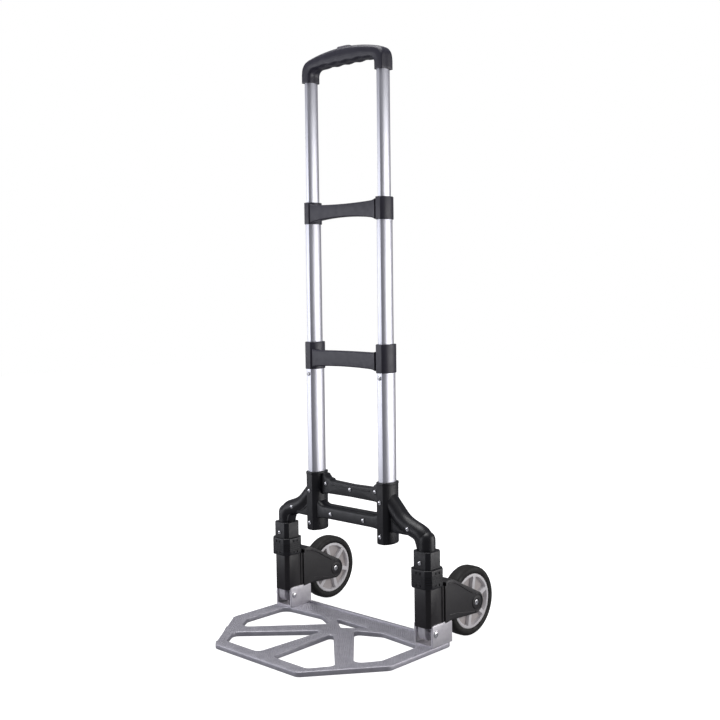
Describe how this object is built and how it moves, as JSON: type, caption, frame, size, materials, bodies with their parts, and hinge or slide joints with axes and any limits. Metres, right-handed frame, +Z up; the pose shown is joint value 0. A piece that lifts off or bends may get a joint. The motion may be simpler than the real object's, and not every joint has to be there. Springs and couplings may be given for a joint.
{
  "type": "folding hand truck",
  "caption": "Folding hand truck: telescoping push handle on a frame with legs, slotted toe plate that folds up, and wheels on forks that swing inward with it.",
  "frame": {"origin": "on the ground, at the centre of the bounding box seen from above", "axes": "+Z up along the handle, +X to the right seen from behind the handle, -Y towards the toe plate's front edge"},
  "size_m": [0.4078, 0.422, 1.0716],
  "materials": {
    "frame_plastic": "black moulded plastic, satin",
    "fork_plastic": "black moulded plastic, satin",
    "handle_plastic": "dark purple-grey moulded plastic, satin",
    "button_plastic": "grey moulded plastic, semi-gloss",
    "nylon": "dark natural nylon",
    "tube_aluminium": "bright drawn tube, satin",
    "plate_aluminium": "pressed and brushed sheet, satin",
    "cast_metal": "cast, lightly tumbled",
    "steel": "zinc plated, bright",
    "hub_plastic": "silver-white moulded plastic, satin",
    "tyre_rubber": "solid black rubber"
  },
  "bodies": {
    "base": {"base_tube_left": "tube_aluminium", "base_tube_right": "tube_aluminium", "lower_brace": "handle_plastic", "stop_screw_left": "steel", "stop_screw_right": "steel", "frame_front_shell": "frame_plastic", "frame_rear_shell": "frame_plastic", "upper_bar_screw_left": "steel", "upper_bar_screw_centre": "steel", "upper_bar_screw_right": "steel", "lower_bar_screw_left": "steel", "lower_bar_screw_right": "steel", "arm_screw_left": "steel", "arm_screw_right": "steel", "socket_upper_screw_left": "steel", "socket_upper_screw_right": "steel", "socket_lower_screw_left": "steel", "socket_lower_screw_right": "steel", "leg_post_left": "steel", "leg_post_right": "steel", "leg_collar_left": "frame_plastic", "leg_collar_right": "frame_plastic", "collar_screw_left": "steel", "collar_screw_right": "steel", "leg_foot_left": "cast_metal", "leg_foot_right": "cast_metal"},
    "mid_stage": {"mid_tube_left": "tube_aluminium", "mid_tube_right": "tube_aluminium", "mid_plug_left": "nylon", "mid_plug_right": "nylon", "upper_brace": "handle_plastic"},
    "upper_stage": {"handle_front_shell": "handle_plastic", "handle_rear_shell": "handle_plastic", "handle_screw_left": "steel", "handle_screw_right": "steel", "top_tube_left": "tube_aluminium", "top_tube_right": "tube_aluminium", "top_plug_left": "nylon", "top_plug_right": "nylon", "button_spring": "steel"},
    "button": {"release_button": "button_plastic", "release_yoke": "steel"},
    "lock_pin_left": {"lock_pin_left": "steel"},
    "lock_pin_right": {"lock_pin_right": "steel"},
    "toe_plate": {"toe_plate": "plate_aluminium", "hinge_bracket_left": "cast_metal", "hinge_bracket_right": "cast_metal", "hinge_pin_left": "steel", "hinge_pin_right": "steel"},
    "fork_left": {"wheel_fork_left": "fork_plastic", "axle_left": "steel", "axle_bush_left": "nylon"},
    "fork_right": {"wheel_fork_right": "fork_plastic", "axle_right": "steel", "axle_bush_right": "nylon"},
    "wheel_left": {"hub_left": "hub_plastic", "tyre_left": "tyre_rubber"},
    "wheel_right": {"hub_right": "hub_plastic", "tyre_right": "tyre_rubber"}
  },
  "joints": [
    {"name": "mid_slide", "type": "slide", "parent": "base", "child": "mid_stage", "axis": [0, 0, -1], "range_m": [0, 0.216]},
    {"name": "handle_slide", "type": "slide", "parent": "mid_stage", "child": "upper_stage", "axis": [0, 0, -1], "range_m": [0, 0.216]},
    {"name": "button_press", "type": "slide", "parent": "upper_stage", "child": "button", "axis": [0, 0, -1], "range_m": [0, 0.003], "stiffness_N_per_m": 400, "springref_m": -0.006, "deforming": ["button_spring"]},
    {"name": "lock_pin_slide_left", "type": "slide", "parent": "upper_stage", "child": "lock_pin_left", "axis": [1, 0, 0], "range_m": [0, 0.0024]},
    {"name": "lock_pin_slide_right", "type": "slide", "parent": "upper_stage", "child": "lock_pin_right", "axis": [-1, 0, 0], "range_m": [0, 0.0024]},
    {"name": "plate_fold", "type": "hinge", "parent": "base", "child": "toe_plate", "pos_m": [0, 0.0315, 0.0325], "axis": [-1, 0, 0], "range_deg": [0, 90]},
    {"name": "fork_swing_left", "type": "hinge", "parent": "base", "child": "fork_left", "pos_m": [-0.18, 0.035, 0], "axis": [0, 0, -1], "range_deg": [0, 90]},
    {"name": "fork_swing_right", "type": "hinge", "parent": "base", "child": "fork_right", "pos_m": [0.18, 0.035, 0], "axis": [0, 0, 1], "range_deg": [0, 90]},
    {"name": "wheel_spin_left", "type": "hinge", "parent": "fork_left", "child": "wheel_left", "pos_m": [-0.18, 0.1475, 0.0635], "axis": [1, 0, 0], "continuous": true},
    {"name": "wheel_spin_right", "type": "hinge", "parent": "fork_right", "child": "wheel_right", "pos_m": [0.18, 0.1475, 0.0635], "axis": [1, 0, 0], "continuous": true}
  ],
  "couplings": [
    {"joint": "lock_pin_slide_left", "follows": "button_press", "ratio": 0.8},
    {"joint": "lock_pin_slide_right", "follows": "button_press", "ratio": 0.8},
    {"joint": "fork_swing_left", "follows": "plate_fold", "ratio": 1},
    {"joint": "fork_swing_right", "follows": "plate_fold", "ratio": 1}
  ]
}
